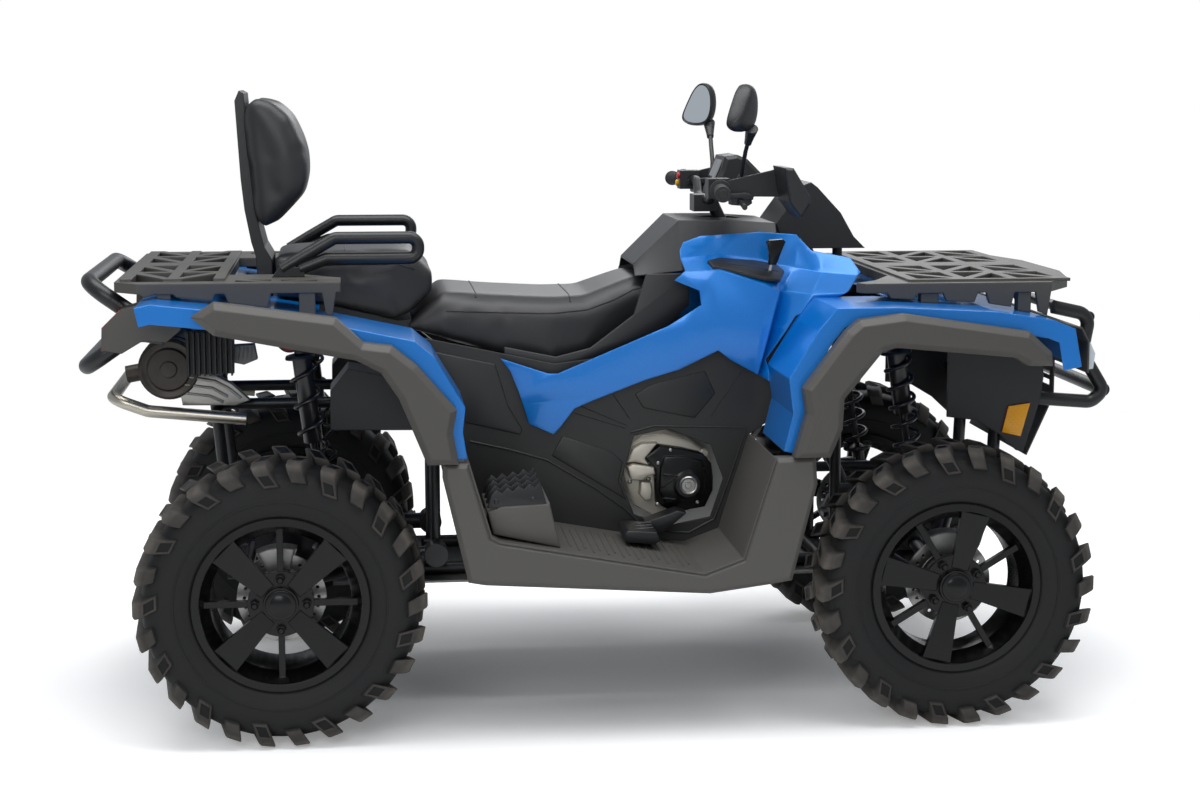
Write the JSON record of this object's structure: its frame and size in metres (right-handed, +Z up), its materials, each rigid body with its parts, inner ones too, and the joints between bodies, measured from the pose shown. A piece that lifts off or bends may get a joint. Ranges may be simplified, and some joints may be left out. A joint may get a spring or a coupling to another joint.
{
  "type": "quad bike",
  "caption": "Two-seat utility quad bike with moulded body, racks, back rest, formed-tube bumpers, steering front wheels and free-turning knobbly tyres.",
  "frame": {"origin": "on the ground under the middle of the bounding box, midway between the axles", "axes": "+X forward, +Y to the rider's left, +Z up"},
  "size_m": [2.391, 1.22, 1.437],
  "materials": {
    "body_paint": "gloss metallic",
    "flare_plastic": "satin moulded",
    "footwell_plastic": "grained",
    "panel_plastic": "satin",
    "rack_plastic": "grained",
    "frame_paint": "satin",
    "engine_metal": "cast",
    "cover_metal": "cast",
    "skid_metal": "brushed",
    "bare_tube": "bare",
    "muffler_metal": "brushed",
    "seat_vinyl": "grained vinyl",
    "bumper_paint": "satin powder coat",
    "lamp_clear": "clear",
    "lamp_red": "gloss",
    "reflector": "gloss",
    "arm_paint": "satin",
    "shock_metal": "gloss",
    "shaft_metal": "oiled",
    "regulator_metal": "black anodised",
    "bar_metal": "satin",
    "grip_rubber": "soft",
    "control_plastic": "satin",
    "mirror_plastic": "satin",
    "mirror_face": "polished",
    "tyre_rubber": "moulded",
    "rim_paint": "gloss",
    "disc_metal": "ground",
    "knuckle_metal": "cast"
  },
  "bodies": {
    "chassis": {"frame": "frame_paint", "frame_struts": "frame_paint", "frame_posts": "frame_paint", "engine": "engine_metal", "engine_covers": "cover_metal", "skid_plate": "skid_metal", "side_panels": "body_paint", "front_body": "body_paint", "rear_body": "body_paint", "front_flares": "flare_plastic", "rear_flares": "flare_plastic", "footwells": "footwell_plastic", "lower_panels": "panel_plastic", "console": "panel_plastic", "front_cowl": "panel_plastic", "front_fascia": "panel_plastic", "headlamps": "lamp_clear", "tail_lamps": "lamp_red", "front_rack": "rack_plastic", "rear_rack": "rack_plastic", "front_bumper": "bumper_paint", "rear_bumper": "bumper_paint", "hitch_tube": "bare_tube", "muffler": "muffler_metal", "driver_seat": "seat_vinyl", "passenger_seat": "seat_vinyl", "backrest_pad": "seat_vinyl", "backrest_frame": "panel_plastic", "grab_handles": "bumper_paint", "suspension_arms": "arm_paint", "shocks": "shock_metal", "drive_line": "shaft_metal", "regulator": "regulator_metal", "reflectors": "reflector", "tool_boxes": "panel_plastic", "splash_guards": "panel_plastic"},
    "steering": {"handlebar": "bar_metal", "grips": "grip_rubber", "bar_controls": "control_plastic", "instrument_pod": "panel_plastic", "hand_guards": "mirror_plastic", "mirrors": "mirror_plastic", "mirror_glass": "mirror_face"},
    "knuckle_right": {"knuckle_right": "knuckle_metal"},
    "tie_rod_right": {"tie_rod_right": "shaft_metal"},
    "knuckle_left": {"knuckle_left": "knuckle_metal"},
    "tie_rod_left": {"tie_rod_left": "shaft_metal"},
    "wheel_front_right": {"tyre_front_right": "tyre_rubber", "rim_front_right": "rim_paint", "disc_front_right": "disc_metal"},
    "wheel_front_left": {"tyre_front_left": "tyre_rubber", "rim_front_left": "rim_paint", "disc_front_left": "disc_metal"},
    "wheel_rear_right": {"tyre_rear_right": "tyre_rubber", "rim_rear_right": "rim_paint", "disc_rear_right": "disc_metal"},
    "wheel_rear_left": {"tyre_rear_left": "tyre_rubber", "rim_rear_left": "rim_paint", "disc_rear_left": "disc_metal"}
  },
  "joints": [
    {"name": "handlebar_steer", "type": "hinge", "parent": "chassis", "child": "steering", "pos_m": [0.64, 0, 0.4], "axis": [-0.4321, 0, 0.9018], "range_deg": [-35, 35]},
    {"name": "knuckle_right_steer", "type": "hinge", "parent": "chassis", "child": "knuckle_right", "pos_m": [0.7495, -0.4105, 0.318], "axis": [0, 0, 1], "range_deg": [-28, 28]},
    {"name": "tie_rod_right_swing", "type": "hinge", "parent": "knuckle_right", "child": "tie_rod_right", "pos_m": [0.6815, -0.4495, 0.336], "axis": [0, 0, 1], "range_deg": [-28, 28]},
    {"name": "knuckle_left_steer", "type": "hinge", "parent": "chassis", "child": "knuckle_left", "pos_m": [0.7495, 0.4105, 0.318], "axis": [0, 0, 1], "range_deg": [-28, 28]},
    {"name": "tie_rod_left_swing", "type": "hinge", "parent": "knuckle_left", "child": "tie_rod_left", "pos_m": [0.6815, 0.4495, 0.336], "axis": [0, 0, 1], "range_deg": [-28, 28]},
    {"name": "wheel_front_right_spin", "type": "hinge", "parent": "knuckle_right", "child": "wheel_front_right", "pos_m": [0.7495, -0.4845, 0.318], "axis": [0, 1, 0], "continuous": true},
    {"name": "wheel_front_left_spin", "type": "hinge", "parent": "knuckle_left", "child": "wheel_front_left", "pos_m": [0.7495, 0.4845, 0.318], "axis": [0, 1, 0], "continuous": true},
    {"name": "wheel_rear_right_spin", "type": "hinge", "parent": "chassis", "child": "wheel_rear_right", "pos_m": [-0.7495, -0.459, 0.318], "axis": [0, 1, 0], "continuous": true},
    {"name": "wheel_rear_left_spin", "type": "hinge", "parent": "chassis", "child": "wheel_rear_left", "pos_m": [-0.7495, 0.459, 0.318], "axis": [0, 1, 0], "continuous": true}
  ],
  "couplings": [
    {"joint": "knuckle_right_steer", "follows": "handlebar_steer", "ratio": 0.8},
    {"joint": "tie_rod_right_swing", "follows": "handlebar_steer", "ratio": -0.8},
    {"joint": "knuckle_left_steer", "follows": "handlebar_steer", "ratio": 0.8},
    {"joint": "tie_rod_left_swing", "follows": "handlebar_steer", "ratio": -0.8}
  ]
}
